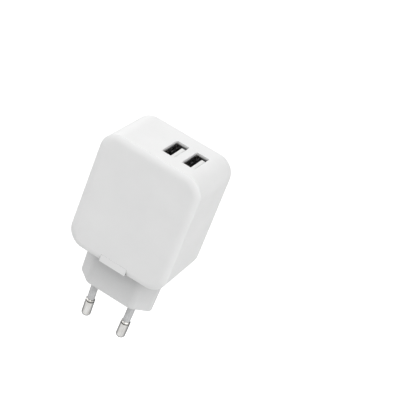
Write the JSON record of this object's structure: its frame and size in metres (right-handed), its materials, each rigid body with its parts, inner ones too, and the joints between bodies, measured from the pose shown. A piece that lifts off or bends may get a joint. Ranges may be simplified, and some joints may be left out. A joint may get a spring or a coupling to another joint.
{
  "type": "usb wall charger",
  "caption": "Wall charger with a rounded white housing, USB-A ports on the top face and a fixed Europlug column with sleeved round pins below.",
  "frame": {"origin": "centre of the plug's engagement face, midway between the pins", "axes": "+Z from the plug to the USB ports, the pins point to -Z; -Y is the outward normal of the large front face; +X is to the right when the front face is looked at with the ports up"},
  "size_m": [0.0462, 0.03, 0.0912],
  "materials": {
    "housing_plastic": "moulded polycarbonate, satin with a fine spark-eroded texture",
    "pin_nickel": "nickel-plated brass, bright, with fine lengthwise rub marks",
    "sleeve_plastic": "grey insulating sleeve, matte",
    "contact_brass": "spring brass sheet",
    "board_laminate": "glass-epoxy laminate with green solder mask",
    "insulation_paper": "pale insulation sheet",
    "resistor_lacquer": "flameproof lacquer",
    "package_black": "moulded epoxy package",
    "capacitor_sleeve": "shrink sleeve over an aluminium can",
    "output_capacitor_can": "bare aluminium can",
    "ferrite": "sintered ferrite",
    "copper_wire": "enamelled copper wire",
    "polyester_tape": "yellow polyester tape",
    "bobbin_plastic": "phenolic bobbin",
    "tinned_wire": "tinned pins",
    "disc_lacquer": "blue lacquered disc",
    "chip_ceramic": "ceramic chips with tinned ends",
    "port_steel": "dark nickel-plated stamped shell",
    "port_insulator": "white thermoplastic insulator",
    "contact_gold": "gold-flashed phosphor bronze"
  },
  "bodies": {
    "charger": {"housing_shell": "housing_plastic", "back_cover": "housing_plastic", "plug_base": "housing_plastic", "plug_pin_left": "pin_nickel", "plug_pin_right": "pin_nickel", "pin_sleeve_left": "sleeve_plastic", "pin_sleeve_right": "sleeve_plastic", "pin_contact_left": "contact_brass", "pin_contact_right": "contact_brass", "main_board": "board_laminate", "insulation_sheet": "insulation_paper", "fuse_resistor": "resistor_lacquer", "bridge_rectifier": "package_black", "bulk_capacitor_lower": "capacitor_sleeve", "bulk_capacitor_upper": "capacitor_sleeve", "filter_inductor_core": "ferrite", "filter_inductor_winding": "copper_wire", "safety_capacitor": "disc_lacquer", "transformer_core_upper": "ferrite", "transformer_core_lower": "ferrite", "transformer_bobbin": "bobbin_plastic", "transformer_winding": "copper_wire", "transformer_winding_tape": "polyester_tape", "transformer_core_tape": "polyester_tape", "transformer_pins": "tinned_wire", "optocoupler": "package_black", "control_chip": "package_black", "switching_transistor": "package_black", "snubber_diode": "package_black", "sync_rectifier": "package_black", "port_control_chip": "package_black", "output_capacitor_left": "output_capacitor_can", "output_capacitor_right": "output_capacitor_can", "chip_resistors": "chip_ceramic", "chip_capacitors": "chip_ceramic", "usb_shell_a": "port_steel", "usb_shell_b": "port_steel", "usb_tongue_a": "port_insulator", "usb_tongue_b": "port_insulator", "usb_contact_tails_a": "contact_gold", "usb_contact_tails_b": "contact_gold"},
    "port_a_contacts": {"usb_contact_springs_a": "contact_gold"},
    "port_b_contacts": {"usb_contact_springs_b": "contact_gold"}
  },
  "joints": [
    {"name": "port_a_contact_flex", "type": "hinge", "parent": "charger", "child": "port_a_contacts", "pos_m": [0.00264, -0.0003, 0.05932], "axis": [0, 1, 0], "range_deg": [0, 2.4]},
    {"name": "port_b_contact_flex", "type": "hinge", "parent": "charger", "child": "port_b_contacts", "pos_m": [0.01194, -0.0003, 0.05932], "axis": [0, 1, 0], "range_deg": [0, 2.4]}
  ]
}
